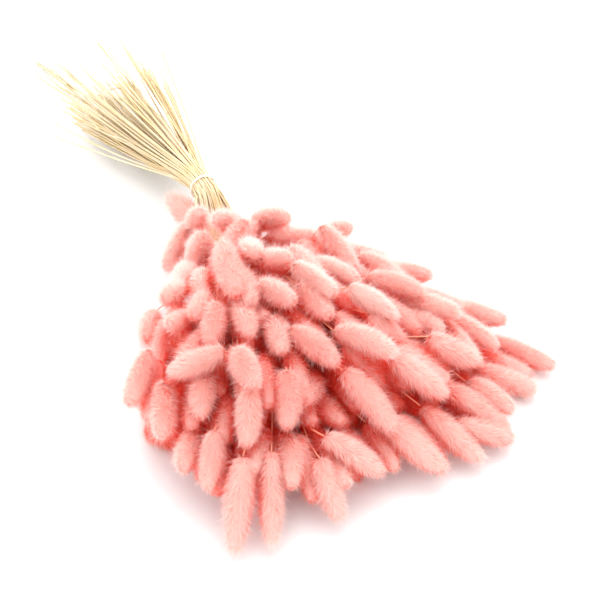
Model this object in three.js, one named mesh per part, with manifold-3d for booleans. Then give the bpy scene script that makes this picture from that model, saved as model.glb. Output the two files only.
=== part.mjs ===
// Dried bunny tail grass: a bunch of dyed heads on straw stems, tied once and lying down.
// Millimetres, +Z up, +X from the cut stem ends to the heads.
import * as THREE from 'three';
import { mergeVertices } from 'three/addons/utils/BufferGeometryUtils.js';
import Module from 'manifold-3d';

const { degToRad, lerp, clamp, smoothstep } = THREE.MathUtils;
const { PI, cos, sin, tan, atan2, sqrt, hypot, abs, sign, min, max, floor } = Math;
const fullTurn = 2 * PI;
const goldenAngle = PI * (3 - sqrt(5));

// A fluffy head: an egg of hair tufts, widest below the middle.
const headCount = 122;
const headLengthLeast = 42;
const headLengthMost = 68;
const headRadiusLeast = 8.0;
const headRadiusMost = 10.2;
const headSides = 6;
const headBaseRadius = 1.3;
const headBow = 3;
const stoutLeast = 0.25;
const stoutByLength = 0.5;
const stoutByDraw = 0.4;
const headColours = [0xf2a39a, 0xf5b3aa, 0xee9389, 0xf7c0b6, 0xf0a89c];
const headProfile = [[0.13, 0.74], [0.46, 1], [0.81, 0.7]];
const tuftRaised = 1.12;
const tuftSunk = 0.84;
const tuftSweep = 2.4;

// The tie and the bundle of stems that it grips.
const tieHeight = 38;
const tieWidth = 3;
const tieThickness = 1.5;
const tieSides = 24;
const tieTurns = 2;
const tieDip = 0.4;
const bundleRadius = 11;
const bundleRidges = 14;
const bundleHalf = 5;
const bundleGroove = 0.8;
const sectionRadius = 9.8;
const seatGap = 0.3;

// Stems are thickest at the cut end and thin towards the head.
const stemRadiusCut = 1.05;
const stemRadiusTie = 0.5;
const stemRadiusHead = 0.5;
const stemSpacing = 1.5;
const stemSides = 3;
const stemRoot = 1.5;
const leaveSpread = 0.25;
const leaveShare = 0.33;
const arriveShare = 0.3;
const headSideSteps = 3;
const cutSideSteps = 2;
const cutLengthLeast = 140;
const cutLengthMost = 262;
const strayLength = 332;
const strayCount = 4;
const strayTurn = -6;
const strayPitch = -6;
const nearSideShorter = 0.28;
const cutFanYaw = 15.5;
const cutFanTurn = -3;
const cutFanPitch = 6.5;
const cutFanStray = 2;
const cutSag = 17;
const cutEndLeast = 1.15;
const cutBendLeast = 3.7;
const cutHandles = [0.35, 0.7];
const cutDroop = 0.6;
const cutEvery = 2;
const sheathCount = 9;
const sheathWidth = 4;
const sheathThickness = 0.8;
const sheathSpread = 7;
const sheathPlaces = [-0.05, 0.3, 0.7, 1.05];

// The heads lie as a dome that spreads from the tie and slopes to the surface at its rim.
const shoulderHeight = 58;
const fanRoot = 25;
const crestReach = 190;
const crestHeight = 86;
const rimReach = 340;
const rimHeight = 11;
const fanTurn = -6;
const fanHalfAngle = 34;
const rimCurve = 1.8;
const sideCurve = 3;
const sideRound = 0.6;
const lowHeadCut = 0.6;
const lowHeadDrop = 4;

// Hidden heads fill the fan behind and under the visible ones.
const fillReachLeast = 105;
const fillReachMost = 275;
const fillHalfAngle = 26;
const fillEdgeReach = 235;
const fillOverlap = 4;
const fillPatience = 0.02;
const fillLengthLeast = 44;
const fillLengthMost = 60;
const fillYawStray = 8;
const farSideDeeper = 0.3;
const fillLayerLeast = 0.05;
const scatterSteps = [0.754878, 0.618034, 0.56984];

// Settling: heads and stems are moved apart step by step.
const headClusters = 36;
const settleRounds = 290;
const joinRounds = [70, 110, 150, 190, 230];
const clusterMost = 4;
const orderEvery = 30;
const beadPlaces = [0.1, 0.22, 0.35, 0.48, 0.61, 0.74, 0.86, 0.95];
const headClearance = 0.8;
const stemClearance = 0.8;
const stemFloor = 1.5;
const stemCover = 15;
const coverFrom = 50;
const fuseDepth = 6;
const heldVolume = 20;
const pushShare = 0.3;
const pullMost = 3;
const dropShare = 0.1;
const visibleYield = 0.4;
const firmYield = 0.12;
const acrossYield = 0.4;
const anchorPull = 0.03;
const stepMost = 2.5;
const bendMost = 22;
const bundleKeepOut = 40;
const mergeDistance = 1e-4;
const crossingMargin = 0.1;
const stemReachMost = 110;
const bundleStep = 4;
const bundleFlare = 0.27;
const bundleMargin = 2;

// The viewpoint that the visible heads are read from: pixels of a 600 x 600 frame.
const frameCentre = 300;
const viewElevation = 42;
const viewTurn = 28;
const viewFocal = 1080;
const viewDistance = 900;
const tiePixel = [203, 187];
const rayStart = 480;
const rayEnd = 1400;
const rayStep = 2;
const shingleDepth = 9;

// Visible heads: base pixel, tip pixel, and the depth below the dome's outside or both heights.
const visibleHeads = [
  { base: [203, 226], tip: [172, 201], height: [28, 24] },
  { base: [207, 235], tip: [204, 206], height: [56, 54], firm: true },
  { base: [196, 226], tip: [158, 270], height: [26, 12] },
  { base: [205, 236], tip: [188, 266], height: [46, 38], firm: true },
  { base: [250, 228], tip: [212, 222], height: [68, 72], firm: true },
  { base: [250, 222], tip: [297, 218], height: [64, 58], firm: true },
  { base: [258, 252], tip: [322, 232], height: [68, 58] },
  { base: [320, 238], tip: [352, 224], height: [38, 30] },
  { base: [316, 256], tip: [392, 254], height: [50, 40] },
  { base: [225, 250], tip: [235, 294], below: 0 },
  { base: [243, 246], tip: [266, 262], below: 4 },
  { base: [250, 262], tip: [300, 266], below: 8 },
  { base: [244, 272], tip: [252, 306], below: 8 },
  { base: [283, 256], tip: [324, 273], below: 10 },
  { base: [262, 286], tip: [297, 302], below: 0 },
  { base: [188, 275], tip: [156, 308], below: 0 },
  { base: [213, 298], tip: [187, 313], below: 4 },
  { base: [205, 318], tip: [161, 326], below: 4 },
  { base: [222, 308], tip: [206, 347], below: 6 },
  { base: [242, 300], tip: [245, 345], below: 10 },
  { base: [320, 266], tip: [360, 278], below: 10 },
  { base: [375, 268], tip: [437, 276], height: [46, 32] },
  { base: [365, 284], tip: [428, 293], below: 4 },
  { base: [292, 272], tip: [343, 293], below: 4 },
  { base: [300, 288], tip: [332, 315], below: 0 },
  { base: [345, 296], tip: [399, 322], below: 0 },
  { base: [398, 318], tip: [443, 333], below: 10 },
  { base: [400, 296], tip: [465, 313], below: 0 },
  { base: [428, 335], tip: [482, 366], below: 0 },
  { base: [448, 306], tip: [511, 319], height: [38, 22] },
  { base: [490, 346], tip: [562, 364], height: [30, 13] },
  { base: [478, 366], tip: [541, 391], below: 0 },
  { base: [465, 382], tip: [518, 413], below: 0 },
  { base: [445, 382], tip: [510, 436], below: 0 },
  { base: [462, 412], tip: [515, 450], below: 0 },
  { base: [420, 406], tip: [487, 463], below: 0 },
  { base: [344, 370], tip: [398, 438], below: 0 },
  { base: [332, 330], tip: [403, 358], below: 0 },
  { base: [388, 356], tip: [452, 399], below: 0 },
  { base: [300, 322], tip: [334, 373], below: 0 },
  { base: [318, 376], tip: [298, 406], below: 12 },
  { base: [312, 392], tip: [350, 426], below: 16 },
  { base: [326, 434], tip: [387, 478], below: 0 },
  { base: [316, 460], tip: [346, 524], below: 0 },
  { base: [364, 425], tip: [397, 475], below: 10 },
  { base: [392, 412], tip: [448, 478], below: 0 },
  { base: [340, 352], tip: [392, 386], below: 14 },
  { base: [150, 350], tip: [126, 409], below: 0 },
  { base: [222, 348], tip: [166, 376], below: 0 },
  { base: [168, 380], tip: [154, 441], below: 0 },
  { base: [195, 388], tip: [190, 436], below: 12 },
  { base: [212, 378], tip: [200, 415], below: 0 },
  { base: [228, 392], tip: [221, 450], below: 8 },
  { base: [240, 350], tip: [260, 396], below: 0 },
  { base: [245, 396], tip: [250, 453], below: 0 },
  { base: [195, 428], tip: [187, 473], below: 0 },
  { base: [209, 434], tip: [211, 493], below: 0 },
  { base: [226, 448], tip: [219, 494], below: 0 },
  { base: [262, 425], tip: [256, 478], below: 0 },
  { base: [276, 316], tip: [284, 360], below: 8 },
  { base: [287, 372], tip: [285, 432], below: 0 },
  { base: [238, 458], tip: [239, 560], below: 0 },
  { base: [270, 452], tip: [270, 552], below: 0 },
  { base: [289, 434], tip: [292, 492], below: 0 },
];

function seededDraw(seed) {
  let state = seed >>> 0;
  return () => {
    state = (state + 0x6d2b79f5) >>> 0;
    let mixed = state;
    mixed = Math.imul(mixed ^ (mixed >>> 15), mixed | 1);
    mixed ^= mixed + Math.imul(mixed ^ (mixed >>> 7), mixed | 61);
    return ((mixed ^ (mixed >>> 14)) >>> 0) / 4294967296;
  };
}

function vector(x, y, z) {
  return new THREE.Vector3(x, y, z);
}

// Viewpoint
const viewAzimuth = degToRad(90 - viewTurn);
const viewRise = degToRad(viewElevation);
const viewBack = vector(
  sin(viewAzimuth) * cos(viewRise),
  -cos(viewAzimuth) * cos(viewRise),
  sin(viewRise),
);
const viewRight = vector(cos(viewAzimuth), sin(viewAzimuth), 0);
const viewUp = viewBack.clone().cross(viewRight);

function rayThrough(pixel) {
  return viewBack.clone().negate()
    .addScaledVector(viewRight, (pixel[0] - frameCentre) / viewFocal)
    .addScaledVector(viewUp, -(pixel[1] - frameCentre) / viewFocal);
}

const tieCentre = vector(0, 0, tieHeight);
const viewPlace = tieCentre.clone().addScaledVector(rayThrough(tiePixel), -viewDistance);

function alongRay(pixel, depth) {
  return viewPlace.clone().addScaledVector(rayThrough(pixel), depth);
}

// Height of the outermost head axes over a point of the surface.
function domeHeight(x, y) {
  const reach = hypot(x, y);
  const turn = (atan2(y, x + fanRoot) - degToRad(fanTurn)) / degToRad(fanHalfAngle);
  const rise = lerp(shoulderHeight, crestHeight, smoothstep(reach, 0, crestReach));
  const past = max(0, reach - crestReach) / (rimReach - crestReach);
  const crest = reach < crestReach ? rise : lerp(crestHeight, rimHeight, past ** rimCurve);
  const side = 1 - abs(turn) ** sideCurve;
  return rimHeight + (crest - rimHeight) * sign(side) * abs(side) ** sideRound;
}

// The first point of the ray under the dome, or the one that passes it most closely.
function onDome(pixel, below) {
  let nearest = null;
  let least = Infinity;
  for (let depth = rayStart; depth < rayEnd; depth += rayStep) {
    const point = alongRay(pixel, depth);
    const over = point.z - max(rimHeight, domeHeight(point.x, point.y) - below);
    if (over < least) {
      least = over;
      nearest = point;
    }
    if (over <= 0 || point.z < rimHeight) break;
  }
  return nearest;
}

function atHeight(pixel, height) {
  const depth = (height - viewPlace.z) / rayThrough(pixel).z;
  return alongRay(pixel, depth);
}

// A head keeps its base, tip, sideways bow and widest radius.
function makeHead(base, tip, visible) {
  const axis = tip.clone().sub(base);
  const reach = (axis.length() - headLengthLeast) / (headLengthMost - headLengthLeast);
  const stout = clamp(stoutLeast + stoutByLength * reach + stoutByDraw * draw(), 0, 1);
  const radius = lerp(headRadiusLeast, headRadiusMost, stout);
  const sideways = vector(draw() - 0.5, draw() - 0.5, draw() - 0.5).cross(axis).normalize();
  const bow = sideways.multiplyScalar(headBow * draw());
  const anchor = base.clone().lerp(tip, 0.5);
  return { base, tip, radius, visible, bow, anchor, bend: vector(0, 0, 0), links: [] };
}

// None at both ends and 1 halfway.
function archAt(t) {
  return 4 * t * (1 - t);
}

function headPoint(head, t) {
  return head.base.clone().lerp(head.tip, t).addScaledVector(head.bow, archAt(t));
}

function headAxis(head) {
  return head.tip.clone().sub(head.base).normalize();
}

// The tip is read first, then the base at the head's length from it on its own ray.
function readVisibleHead({ base, tip, below, height, firm }) {
  const end = height ? atHeight(tip, height[1]) : onDome(tip, below);
  const guess = height ? atHeight(base, height[0]) : onDome(base, below + shingleDepth);
  const length = clamp(end.distanceTo(guess), headLengthLeast, headLengthMost);
  const along = rayThrough(base).normalize();
  const foot = end.clone().sub(viewPlace).dot(along);
  const miss = viewPlace.clone().addScaledVector(along, foot).distanceTo(end);
  const swing = miss < length ? sqrt(length ** 2 - miss ** 2) : 0;
  const outward = end.clone().sub(tieCentre).normalize();
  const swings = [foot - swing, foot + swing];
  const [near, far] = swings.map((place) => viewPlace.clone().addScaledVector(along, place));
  const nearDot = end.clone().sub(near).dot(outward);
  const farDot = end.clone().sub(far).dot(outward);
  return Object.assign(makeHead(nearDot > farDot ? near : far, end, true), { firm });
}

// A hidden head follows the fan and the slope of the dome at its layer.
function hiddenHead(index) {
  const [across, along, deep] = scatterSteps.map((step) => (0.5 + index * step) % 1);
  const side = lerp(-1, 1, across);
  const far = lerp(fillReachMost, fillEdgeReach - headLengthMost, side ** 4);
  const reach = sqrt(lerp(fillReachLeast ** 2, far ** 2, along));
  const shallow = fillLayerLeast + farSideDeeper * max(0, side);
  const layer = lerp(shallow, 1, deep);
  const angle = degToRad(side * fillHalfAngle);
  const level = (distance) => {
    const outside = domeHeight(distance * cos(angle), distance * sin(angle));
    return max(rimHeight, lerp(outside, rimHeight, layer));
  };
  const length = lerp(fillLengthLeast, fillLengthMost, draw());
  const yaw = angle + degToRad(lerp(-fillYawStray, fillYawStray, draw()));
  const base = vector(reach * cos(angle), reach * sin(angle), level(reach));
  const fall = (level(reach + length) - level(reach)) / length;
  const axis = vector(cos(yaw), sin(yaw), fall).normalize();
  return makeHead(base, base.clone().addScaledVector(axis, length), false);
}

// Beads along a head stand for its outside while the heads are settled.
function profileAt(t) {
  const stations = [[0, 0.15], ...headProfile, [1, 0]];
  const next = stations.findIndex(([place]) => place >= t);
  const [t0, f0] = stations[max(0, next - 1)];
  const [t1, f1] = stations[next];
  return lerp(f0, f1, (t - t0) / (t1 - t0 || 1));
}

function beadsOf(head) {
  return beadPlaces.map((t) => ({
    t,
    place: headPoint(head, t),
    radius: head.radius * tuftRaised * profileAt(t),
  }));
}

function deepestGap(beadsA, beadsB) {
  let best = { gap: Infinity };
  for (const a of beadsA) {
    for (const b of beadsB) {
      const gap = a.place.distanceTo(b.place) - a.radius - b.radius;
      if (gap < best.gap) best = { gap, a, b };
    }
  }
  return best;
}

// Places in the tied bundle, spread evenly over its round section.
function sectionPlace(index, count) {
  const radius = sectionRadius * sqrt((index + 0.5) / count);
  return { y: radius * cos(index * goldenAngle), z: radius * sin(index * goldenAngle) };
}

// Places are exchanged until no two stems cross on their way out of the tie.
function orderSectionPlaces(aimOf) {
  const aims = heads.map(aimOf);
  let exchanged = true;
  while (exchanged) {
    exchanged = false;
    heads.forEach((a, i) => {
      for (let j = i + 1; j < heads.length; j += 1) {
        const b = heads[j];
        const sideways = (a.section.y - b.section.y) * (aims[i].y - aims[j].y);
        const upward = (a.section.z - b.section.z) * (aims[i].z - aims[j].z);
        if (sideways + upward < 0) {
          [a.section, b.section] = [b.section, a.section];
          exchanged = true;
        }
      }
    });
  }
}

// How far sideways and up a head's base lies as seen from the tie.
function directionOf(head) {
  const forward = head.base.x + bundleKeepOut;
  return { y: head.base.y / forward, z: (head.base.z - tieHeight) / forward };
}

function bezierPoint(points, t) {
  const [a, b, c, d] = points;
  const s = 1 - t;
  return a.clone().multiplyScalar(s ** 3)
    .addScaledVector(b, 3 * s * s * t)
    .addScaledVector(c, 3 * s * t * t)
    .addScaledVector(d, t ** 3);
}

// The stem of a head, from inside the bundle to just under the head.
function headStem(head) {
  const { y, z } = head.section;
  const start = vector(bundleHalf - stemRoot, y, tieHeight + z);
  const end = head.base.clone().addScaledVector(headAxis(head), -seatGap);
  const span = start.distanceTo(end);
  const leave = vector(sectionRadius, y * leaveSpread, z * leaveSpread).normalize();
  const near = start.clone().addScaledVector(leave, span * leaveShare).add(head.bend);
  const far = end.clone().addScaledVector(headAxis(head), -span * arriveShare).add(head.bend);
  const handles = [start, near, far, end];
  return Array.from({ length: headSideSteps + 1 }, (_, k) => {
    const point = bezierPoint(handles, k / headSideSteps);
    return point.setZ(max(point.z, stemFloor));
  });
}

function stemRadiusAt(t) {
  return lerp(stemRadiusTie, stemRadiusHead, t);
}

const segmentPoint = vector(0, 0, 0);
const segment = new THREE.Line3();

function addPush(head, t, push) {
  const weight = head.firm ? firmYield : head.visible ? visibleYield : 1;
  head.pushBase.addScaledVector(push, weight * (1 - t));
  head.pushTip.addScaledVector(push, weight * t);
}

function pushHeadsApart(first, second, beads) {
  const partner = first.links.includes(second);
  for (const a of beads.get(first)) {
    for (const b of beads.get(second)) {
      const apart = a.place.distanceTo(b.place);
      const gap = apart - a.radius - b.radius - (partner ? -fuseDepth : headClearance);
      if (gap >= 0) continue;
      const push = a.place.clone().sub(b.place).multiplyScalar(-gap * pushShare / (apart || 1));
      addPush(first, a.t, push);
      addPush(second, b.t, push.negate());
    }
  }
  if (!partner) return;
  const { gap, a, b } = deepestGap(beads.get(first), beads.get(second));
  const pull = gap + fuseDepth;
  if (pull <= 0) return;
  const draught = b.place.clone().sub(a.place).setLength(min(pull, pullMost) * pushShare);
  addPush(first, a.t, draught);
  addPush(second, b.t, draught.negate());
}

// A stem bends clear of the heads of others, and they give way to it a little.
function pushFromStem(owner, head, beads) {
  for (let k = 0; k < headSideSteps; k += 1) {
    segment.set(owner.path[k], owner.path[k + 1]);
    const t = (k + 0.5) / headSideSteps;
    for (const bead of beads) {
      segment.closestPointToPoint(bead.place, true, segmentPoint);
      const apart = segmentPoint.distanceTo(bead.place);
      const gap = apart - bead.radius - stemRadiusAt(t) - stemClearance;
      if (gap >= 0) continue;
      const push = bead.place.clone().sub(segmentPoint).multiplyScalar(-gap * pushShare / (apart || 1));
      addPush(head, bead.t, push);
      owner.pushBend.addScaledVector(push, -archAt(t));
    }
  }
}

// Closest approach of two straight stretches, as places along both of them.
function closestPlaces(a0, a1, b0, b1) {
  const da = a1.clone().sub(a0);
  const db = b1.clone().sub(b0);
  const r = a0.clone().sub(b0);
  const aa = da.dot(da);
  const bb = db.dot(db);
  const ab = da.dot(db);
  const ar = da.dot(r);
  const br = db.dot(r);
  const flat = aa * bb - ab * ab;
  const s = flat > 1e-6 ? clamp((ab * br - bb * ar) / flat, 0, 1) : 0.5;
  const t = clamp((ab * s + br) / bb, 0, 1);
  return [s, t, da.multiplyScalar(s).add(r).addScaledVector(db, -t)];
}

function pushStemsApart(first, second) {
  for (let i = 1; i < headSideSteps; i += 1) {
    for (let j = 1; j < headSideSteps; j += 1) {
      const [a0, a1, b0, b1] = [first.path[i], first.path[i + 1], second.path[j], second.path[j + 1]];
      if (a0.distanceTo(b0) > stemReachMost) continue;
      const [s, t, between] = closestPlaces(a0, a1, b0, b1);
      const apart = between.length();
      const gap = apart - stemSpacing;
      if (gap >= 0) continue;
      const push = between.multiplyScalar(-gap * pushShare / (apart || 1));
      first.pushBend.addScaledVector(push, archAt((i + s) / headSideSteps));
      second.pushBend.addScaledVector(push, -archAt((j + t) / headSideSteps));
    }
  }
}

function pushFromBundle(head, beads) {
  for (let x = -bundleKeepOut; x <= bundleHalf; x += bundleStep) {
    const radius = bundleRadius + bundleMargin + max(0, -x) * bundleFlare;
    for (const bead of beads) {
      const away = vector(bead.place.x - x, bead.place.y, bead.place.z - tieHeight);
      const gap = away.length() - bead.radius - radius;
      if (gap < 0) addPush(head, bead.t, away.setLength(-gap * pushShare));
    }
  }
}

// A hidden head that leans out of the side of the fan is moved back in.
function keepInFan(head, bead) {
  const reach = bead.place.x + fanRoot;
  const side = bead.place.y - reach * tan(degToRad(fanTurn));
  const beyond = abs(side) + bead.radius - reach * tan(degToRad(fanHalfAngle));
  if (beyond > 0) addPush(head, bead.t, vector(0, -sign(side) * beyond * pushShare, 0));
}

function restOnSurface(head, beads) {
  const lowest = min(...head.path.map((point) => point.z));
  if (lowest < stemFloor) head.pushBend.z += stemFloor - lowest;
  for (const point of head.path.slice(1, -1)) {
    const over = point.z + stemCover - domeHeight(point.x, point.y);
    if (point.x > coverFrom && over > 0) head.pushBend.z -= over * pushShare;
  }
  for (const bead of beads) {
    if (!head.visible) keepInFan(head, bead);
    const over = bead.place.z - bead.radius + lowHeadCut;
    if (over < 0) addPush(head, bead.t, vector(0, 0, -over));
    else if (over < lowHeadDrop) addPush(head, bead.t, vector(0, 0, -over * dropShare));
  }
}

// A visible head moves along its line of sight more readily than across it.
function holdInView(head, push) {
  const sight = headPoint(head, 0.5).sub(viewPlace).normalize();
  const across = push.clone().addScaledVector(sight, -push.dot(sight));
  return push.addScaledVector(across, acrossYield - 1);
}

function moveHead(head) {
  const length = head.base.distanceTo(head.tip);
  if (head.visible) {
    holdInView(head, head.pushBase);
    holdInView(head, head.pushTip);
  }
  head.base.add(head.pushBase.clampLength(0, stepMost));
  head.tip.add(head.pushTip.clampLength(0, stepMost));
  const middle = head.base.clone().lerp(head.tip, 0.5);
  const axis = headAxis(head);
  if (head.visible) middle.lerp(head.anchor, anchorPull);
  head.bow.projectOnPlane(axis);
  head.base.copy(middle).addScaledVector(axis, -length / 2);
  head.tip.copy(middle).addScaledVector(axis, length / 2);
  head.bend.add(head.pushBend.clampLength(0, stepMost)).clampLength(0, bendMost);
}

function settleRound() {
  const beads = new Map(heads.map((head) => [head, beadsOf(head)]));
  for (const head of heads) {
    head.path = headStem(head);
    head.pushBase = vector(0, 0, 0);
    head.pushTip = vector(0, 0, 0);
    head.pushBend = vector(0, 0, 0);
  }
  heads.forEach((head, index) => {
    for (const other of heads.slice(index + 1)) {
      const near = head.anchorNow.distanceTo(other.anchorNow) < headLengthMost + 2 * headRadiusMost;
      if (near) pushHeadsApart(head, other, beads);
      pushStemsApart(head, other);
    }
    for (const owner of heads) {
      if (owner !== head) pushFromStem(owner, head, beads.get(head));
    }
    pushFromBundle(head, beads.get(head));
    restOnSurface(head, beads.get(head));
  });
  heads.forEach(moveHead);
}

// The heads that lie closest are joined, up to four to a node, as many as the node count asks.
// Two that were kept apart by what lies between them are let go for good.
const parted = new Set();

function clusterOf(head) {
  return head.above ? clusterOf(head.above) : head;
}

function join(first, second) {
  const [a, b] = [clusterOf(first), clusterOf(second)];
  if (a === b || a.members + b.members > clusterMost) return 0;
  b.above = a;
  a.members += b.members;
  first.links.push(second);
  second.links.push(first);
  return 1;
}

function joinClosest() {
  const beads = heads.map(beadsOf);
  const pairs = [];
  heads.forEach((head, i) => {
    for (let j = i + 1; j < heads.length; j += 1) {
      const { gap } = deepestGap(beads[i], beads[j]);
      const held = head.links.includes(heads[j]);
      if (held && gap > -fuseDepth / 2) parted.add(`${i} ${j}`);
      pairs.push({ i, j, order: held ? gap - headLengthMost : gap });
    }
  });
  for (const head of heads) Object.assign(head, { above: null, members: 1, links: [] });
  pairs.sort((a, b) => a.order - b.order);
  let joined = 0;
  for (const { i, j } of pairs) {
    if (joined >= heads.length - headClusters) break;
    if (!parted.has(`${i} ${j}`)) joined += join(heads[i], heads[j]);
  }
}

function settleHeads() {
  for (let index = 0; heads.length < headCount; index += 1) {
    const candidate = hiddenHead(index);
    const beads = beadsOf(candidate);
    const tightest = min(...heads.map((head) => deepestGap(beads, beadsOf(head)).gap));
    if (tightest > -fillOverlap - index * fillPatience) heads.push(candidate);
  }
  heads.forEach((head, index) => {
    head.section = sectionPlace(index, heads.length);
  });
  orderSectionPlaces(directionOf);
  for (let round = 0; round < settleRounds; round += 1) {
    for (const head of heads) head.anchorNow = headPoint(head, 0.5);
    if (joinRounds.includes(round)) joinClosest();
    if (round > 0 && round % orderEvery === 0) orderSectionPlaces((head) => head.path[1]);
    settleRound();
  }
  for (const head of heads) head.path = headStem(head);
}

// A closed body through rings of points, with flat ends or a pointed tip.
function loft(rings, tip = null) {
  const sides = rings[0].length;
  const points = rings.flat();
  const faces = [];
  for (let k = 0; k + 1 < rings.length; k += 1) {
    for (let j = 0; j < sides; j += 1) {
      const here = k * sides + j;
      const next = k * sides + ((j + 1) % sides);
      faces.push(here, next, next + sides, here, next + sides, here + sides);
    }
  }
  const last = (rings.length - 1) * sides;
  for (let j = 1; j + 1 < sides; j += 1) {
    faces.push(0, j + 1, j);
    if (!tip) faces.push(last, last + j, last + j + 1);
  }
  if (tip) {
    points.push(tip);
    for (let j = 0; j < sides; j += 1) {
      faces.push(last + j, last + ((j + 1) % sides), points.length - 1);
    }
  }
  const geometry = new THREE.BufferGeometry().setFromPoints(points);
  geometry.setIndex(faces);
  return geometry;
}

// Two directions across an axis, right-handed with it.
function acrossFrame(axis, hint) {
  const u = hint.clone().addScaledVector(axis, -hint.dot(axis)).normalize();
  return [u, axis.clone().cross(u)];
}

const stemHint = vector(0, 0.3, 1);

function tube(path, radiusAt, hint, sides = stemSides, flatness = 1) {
  let across = hint;
  const rings = path.map((point, k) => {
    const before = path[max(0, k - 1)];
    const after = path[min(path.length - 1, k + 1)];
    const [u, v] = acrossFrame(after.clone().sub(before).normalize(), across);
    across = u;
    const radius = radiusAt(k / (path.length - 1));
    return Array.from({ length: sides }, (_, j) => {
      const angle = fullTurn * (j + 0.5) / sides;
      return point.clone()
        .addScaledVector(u, radius * cos(angle))
        .addScaledVector(v, radius * flatness * sin(angle));
    });
  });
  return loft(rings);
}

// Tufts are raised turn by turn round each ring and swept towards the tip.
function headGeometry(head, extra = 0) {
  const axis = headAxis(head);
  const [u, v] = acrossFrame(axis, vector(0.3, 0.2, 1));
  const ringAt = (t, radiusOf, sweepOf) => Array.from({ length: headSides }, (_, j) => {
    const angle = fullTurn * j / headSides;
    return headPoint(head, t)
      .addScaledVector(u, radiusOf(j) * cos(angle))
      .addScaledVector(v, radiusOf(j) * sin(angle))
      .addScaledVector(axis, sweepOf(j));
  });
  const rings = [ringAt(0, () => headBaseRadius + extra, () => 0)];
  headProfile.forEach(([t, fullness], k) => {
    const raised = (j) => (j + k) % 2 === 0;
    rings.push(ringAt(
      t,
      (j) => head.radius * fullness * (raised(j) ? tuftRaised : tuftSunk) + extra,
      (j) => (raised(j) ? tuftSweep : -tuftSweep / 2),
    ));
  });
  return loft(rings, head.tip.clone().addScaledVector(axis, extra));
}

const wasm = await Module();
wasm.setup();

function solidOf(geometry) {
  const bare = geometry.clone();
  bare.deleteAttribute('normal');
  bare.deleteAttribute('uv');
  const merged = mergeVertices(bare, mergeDistance);
  return new wasm.Manifold(new wasm.Mesh({
    numProp: 3,
    vertProperties: new Float32Array(merged.attributes.position.array),
    triVerts: new Uint32Array(merged.index.array),
  }));
}

function geometryOf(solid) {
  const { vertProperties, triVerts } = solid.getMesh();
  const geometry = new THREE.BufferGeometry();
  geometry.setAttribute('position', new THREE.BufferAttribute(new Float32Array(vertProperties), 3));
  geometry.setIndex(new THREE.BufferAttribute(new Uint32Array(triVerts), 1));
  return geometry;
}

// Only the largest body stays: loose scraps and sealed hollows go.
function largestBody(solid) {
  return solid.decompose().reduce((a, b) => (a.volume() > b.volume() ? a : b));
}

function joinAll(solids) {
  return solids.reduce((whole, solid) => whole.add(solid));
}

// Everything below the surface is cut away, which leaves the small flats that the bunch rests on.
const belowSurface = solidOf(new THREE.BoxGeometry(1200, 800, 40).translate(0, 0, -20));

function bundleGeometry() {
  const path = [-bundleHalf, bundleHalf].map((x) => vector(x, 0, tieHeight));
  const rings = path.map((point) => Array.from({ length: 2 * bundleRidges }, (_, j) => {
    const angle = PI * j / bundleRidges;
    const radius = bundleRadius - (j % 2) * bundleGroove;
    return point.clone().add(vector(0, radius * cos(angle), radius * sin(angle)));
  }));
  return loft(rings);
}

// The cut side of a stem fans out from the bundle and ends at a slanting height.
function cutPath(head, index) {
  const { y, z } = head.section;
  const stray = index % floor(heads.length / strayCount) === 7;
  const across = y / sectionRadius;
  const usual = lerp(cutLengthLeast, cutLengthMost, sqrt(draw())) * (1 - nearSideShorter * max(0, -across));
  const length = stray ? strayLength : usual;
  const spread = stray ? strayTurn : across * cutFanYaw + cutFanTurn;
  const yaw = degToRad(spread + lerp(-cutFanStray, cutFanStray, draw()));
  const pitch = stray ? strayPitch : z / sectionRadius * cutFanPitch;
  const lift = tan(degToRad(pitch + lerp(-cutFanStray, cutFanStray, draw()) / 2));
  const start = vector(stemRoot - bundleHalf, y, tieHeight + z);
  const sag = cutSag * (length / cutLengthMost) ** 2;
  const height = max(cutEndLeast, start.z + length * lift - sag);
  const end = vector(-length * cos(yaw), y + length * sin(yaw), height);
  const near = start.clone().lerp(end, cutHandles[0]).setZ(start.z + length * lift * cutHandles[0]);
  const droop = max(cutBendLeast, lerp(start.z, end.z, cutDroop));
  const far = start.clone().lerp(end, cutHandles[1]).setZ(droop);
  return Array.from({ length: cutSideSteps + 1 }, (_, k) => (
    bezierPoint([start, near, far, end], k / cutSideSteps)
  ));
}

// A dry leaf sheath leaves its stem as a thin blade of four sides.
function sheathGeometry(path) {
  const along = path[2].clone().sub(path[1]);
  const aside = vector(0, 0, 1).cross(along).normalize();
  const outwards = sheathSpread * sign(path[2].y);
  const blade = sheathPlaces.map((t) => (
    path[1].clone().addScaledVector(along, t).addScaledVector(aside, outwards * t * t)
  ));
  const halfDiagonal = (t) => sheathWidth * lerp(0.2, 0.7, sin(PI * lerp(0.15, 0.95, t)));
  return tube(blade, halfDiagonal, aside, 4, 2 * sheathThickness / sheathWidth);
}

function headStemSolid(head, extra = 0) {
  return solidOf(tube(head.path, (t) => stemRadiusAt(t) + extra, stemHint));
}

function stemsSolid() {
  const cutRadius = (t) => lerp(stemRadiusTie, stemRadiusCut, t);
  const cutPaths = heads.filter((_, index) => index % cutEvery !== 1).map(cutPath);
  const sheathEvery = floor(cutPaths.length / sheathCount);
  const sheathed = cutPaths.filter((_, index) => index % sheathEvery === 3);
  return largestBody(joinAll([
    solidOf(bundleGeometry()),
    ...heads.map((head) => headStemSolid(head)),
    ...cutPaths.map((path) => solidOf(tube(path, cutRadius, stemHint))),
    ...sheathed.map((path) => solidOf(sheathGeometry(path))),
  ]).subtract(belowSurface));
}

function headsSolid(members, extra = 0) {
  return largestBody(joinAll(members.map((head) => solidOf(headGeometry(head, extra)))));
}

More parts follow.
